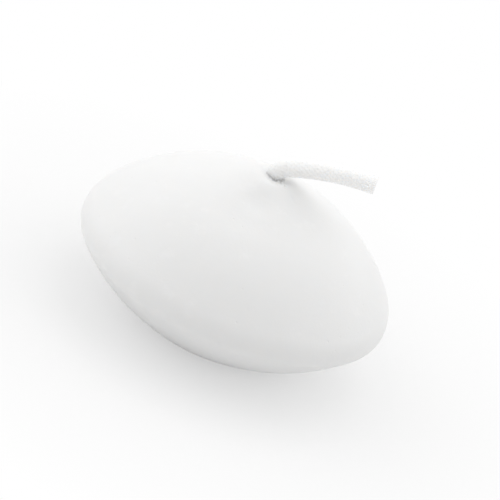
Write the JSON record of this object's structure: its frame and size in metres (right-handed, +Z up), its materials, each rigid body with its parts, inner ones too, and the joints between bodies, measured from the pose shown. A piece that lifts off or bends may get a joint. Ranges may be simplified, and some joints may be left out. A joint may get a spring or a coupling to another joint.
{
  "type": "floating candle",
  "caption": "Lens-shaped floating candle of plain white wax with a domed top, a tapered underside with a small flat base, and a waxed wick bent over at the crest.",
  "frame": {"origin": "middle of the candle's flat base, on the surface it stands on", "axes": "+Z up along the candle's axis through the wick hole, +X the way the wick leans over"},
  "size_m": [0.045, 0.045, 0.0303],
  "materials": {
    "wax": "satin moulded paraffin wax, slightly translucent",
    "wick_cotton": "braided cotton stiffened with wax",
    "tinned_steel": "thin pressed sheet, dull tinned"
  },
  "bodies": {
    "root": {"wax_body": "wax", "wick": "wick_cotton", "wick_sustainer": "tinned_steel"}
  },
  "joints": []
}
